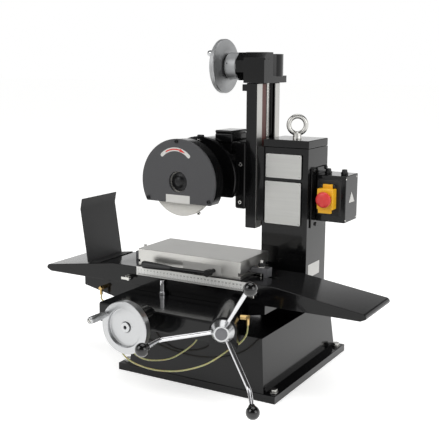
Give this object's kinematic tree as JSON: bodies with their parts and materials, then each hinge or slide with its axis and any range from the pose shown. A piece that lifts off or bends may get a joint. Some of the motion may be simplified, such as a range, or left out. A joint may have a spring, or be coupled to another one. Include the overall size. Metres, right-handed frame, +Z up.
{
  "type": "surface grinder",
  "caption": "Small bench surface grinder with cross saddle, long traversing table, magnetic chuck, rising wheel head, handwheels, capstan and switch box.",
  "frame": {"origin": "centre of the base casting's underside", "axes": "+X to the operator's right along the table, +Y from the operator towards the column, +Z up"},
  "size_m": [0.926, 0.7349, 0.8383],
  "materials": {
    "black_enamel": "semi-gloss black enamel on castings and sheet steel",
    "grey_enamel": "matte mid-grey enamel",
    "ground_steel": "ground or turned bare steel, satin",
    "chrome_plate": "bright plate",
    "turned_aluminium": "satin turned aluminium",
    "brass_fitting": "bright turned brass",
    "yellow_plastic": "moulded yellow plastic",
    "red_plastic": "moulded red plastic",
    "green_plastic": "moulded green plastic",
    "black_phenolic": "glossy black phenolic",
    "white_abrasive": "white vitrified abrasive; the density of plastic stands in for the porous wheel",
    "clear_nylon_tube": "translucent yellowish nylon tube",
    "blank_label": "neutral label film with nothing printed"
  },
  "bodies": {
    "root": {"base_casting": "black_enamel", "foot_bolt_front_left": "ground_steel", "foot_bolt_front_right": "ground_steel", "foot_bolt_rear_left": "ground_steel", "foot_bolt_rear_right": "ground_steel", "column_casting": "black_enamel", "column_lid": "black_enamel", "eyebolt": "chrome_plate", "lift_nut": "brass_fitting", "switch_bracket": "black_enamel", "switch_box": "black_enamel", "cable_gland_left": "black_phenolic", "cable_gland_right": "black_phenolic"},
    "saddle": {"saddle_casting": "black_enamel", "apron": "black_enamel", "stop_post": "chrome_plate", "oil_elbow_left": "brass_fitting", "oil_elbow_right": "brass_fitting", "oil_tube_long": "clear_nylon_tube", "oil_tube_short": "clear_nylon_tube"},
    "cross_screw": {"cross_handwheel": "turned_aluminium", "cross_screw": "ground_steel"},
    "cross_grip": {"cross_grip": "turned_aluminium"},
    "capstan": {"capstan_hub": "ground_steel", "capstan_rod_left": "chrome_plate", "capstan_rod_lower": "chrome_plate", "capstan_rod_upper": "chrome_plate", "capstan_ball_left": "black_phenolic", "capstan_ball_lower": "black_phenolic", "capstan_ball_upper": "black_phenolic", "pinion_shaft": "ground_steel"},
    "table": {"table_casting": "black_enamel", "table_rack": "ground_steel", "steel_rule": "ground_steel", "magnetic_chuck": "ground_steel", "chuck_strap_left": "ground_steel", "chuck_strap_right": "ground_steel", "clamp_stud_left": "ground_steel", "clamp_stud_right": "ground_steel", "splash_guard": "black_enamel"},
    "chuck_lever": {"chuck_lever": "ground_steel", "chuck_lever_grip": "black_phenolic"},
    "stop_dog_left": {"stop_dog_left": "chrome_plate"},
    "stop_dog_right": {"stop_dog_right": "chrome_plate"},
    "head": {"ram": "black_enamel", "lift_gearbox": "black_enamel", "motor": "black_enamel", "terminal_box": "black_enamel", "motor_bracket": "black_enamel", "guard_cover": "grey_enamel", "guard_body": "black_enamel"},
    "lift_screw": {"lift_screw": "ground_steel"},
    "lift_wheel": {"lift_handwheel": "turned_aluminium"},
    "lift_grip": {"lift_grip": "turned_aluminium"},
    "spindle": {"grinding_wheel": "white_abrasive", "spindle": "ground_steel"},
    "flap": {"switch_flap": "yellow_plastic"},
    "stop_knob": {"emergency_stop_knob": "red_plastic"},
    "start_key": {"start_button": "green_plastic"},
    "stop_key": {"stop_button": "red_plastic"}
  },
  "joints": [
    {"name": "cross_screw_turn", "type": "hinge", "parent": "saddle", "child": "cross_screw", "pos_m": [-0.086, -0.376, 0.1775], "axis": [0, 1, 0], "range_deg": [-7210, 435]},
    {"name": "cross_feed", "type": "slide", "parent": "root", "child": "saddle", "axis": [0, 1, 0], "range_m": [-0.1, 0.006]},
    {"name": "cross_grip_spin", "type": "hinge", "parent": "cross_screw", "child": "cross_grip", "pos_m": [-0.134, -0.376, 0.204], "axis": [0, 1, 0], "continuous": true},
    {"name": "table_traverse", "type": "slide", "parent": "saddle", "child": "table", "axis": [1, 0, 0], "range_m": [-0.22, 0.085]},
    {"name": "capstan_turn", "type": "hinge", "parent": "saddle", "child": "capstan", "pos_m": [0.148, -0.33, 0.195], "axis": [0.385, -0.9229, 0], "range_deg": [-265, 685]},
    {"name": "chuck_lever_turn", "type": "hinge", "parent": "table", "child": "chuck_lever", "pos_m": [0.012, -0.151, 0.274], "axis": [0, 1, 0], "range_deg": [0, 180]},
    {"name": "stop_dog_left_slide", "type": "slide", "parent": "table", "child": "stop_dog_left", "axis": [1, 0, 0], "range_m": [-0.04, 0]},
    {"name": "stop_dog_right_slide", "type": "slide", "parent": "table", "child": "stop_dog_right", "axis": [1, 0, 0], "range_m": [0, 0.04]},
    {"name": "lift_wheel_turn", "type": "hinge", "parent": "head", "child": "lift_wheel", "pos_m": [-0.0833, 0.106, 0.7673], "axis": [1, 0, 0], "range_deg": [-7210, 5410]},
    {"name": "head_lift", "type": "slide", "parent": "root", "child": "head", "axis": [0, 0, 1], "range_m": [-0.08, 0.06]},
    {"name": "lift_screw_turn", "type": "hinge", "parent": "head", "child": "lift_screw", "pos_m": [0.0287, 0.106, 0.4], "axis": [0, 0, 1], "range_deg": [-7210, 5410]},
    {"name": "lift_grip_spin", "type": "hinge", "parent": "lift_wheel", "child": "lift_grip", "pos_m": [-0.1053, 0.15, 0.8013], "axis": [1, 0, 0], "continuous": true},
    {"name": "spindle_spin", "type": "hinge", "parent": "head", "child": "spindle", "pos_m": [-0.1259, -0.084, 0.477], "axis": [0, 1, 0], "continuous": true},
    {"name": "flap_open", "type": "hinge", "parent": "root", "child": "flap", "pos_m": [0.2176, 0.081, 0.4735], "axis": [-1, 0, 0], "range_deg": [0, 100]},
    {"name": "stop_knob_press", "type": "slide", "parent": "flap", "child": "stop_knob", "axis": [0, 1, 0], "range_m": [0, 0.004], "stiffness_N_per_m": 300, "springref_m": -0.003},
    {"name": "start_press", "type": "slide", "parent": "root", "child": "start_key", "axis": [0, 1, 0], "range_m": [0, 0.003], "stiffness_N_per_m": 200, "springref_m": -0.003},
    {"name": "stop_press", "type": "slide", "parent": "root", "child": "stop_key", "axis": [0, 1, 0], "range_m": [0, 0.003], "stiffness_N_per_m": 200, "springref_m": -0.003}
  ],
  "couplings": [
    {"joint": "cross_screw_turn", "follows": "cross_feed", "rad_per_m": 1256.6},
    {"joint": "capstan_turn", "follows": "table_traverse", "rad_per_m": -54.17},
    {"joint": "lift_wheel_turn", "follows": "head_lift", "rad_per_m": 1570.8},
    {"joint": "lift_screw_turn", "follows": "head_lift", "rad_per_m": 1570.8}
  ]
}
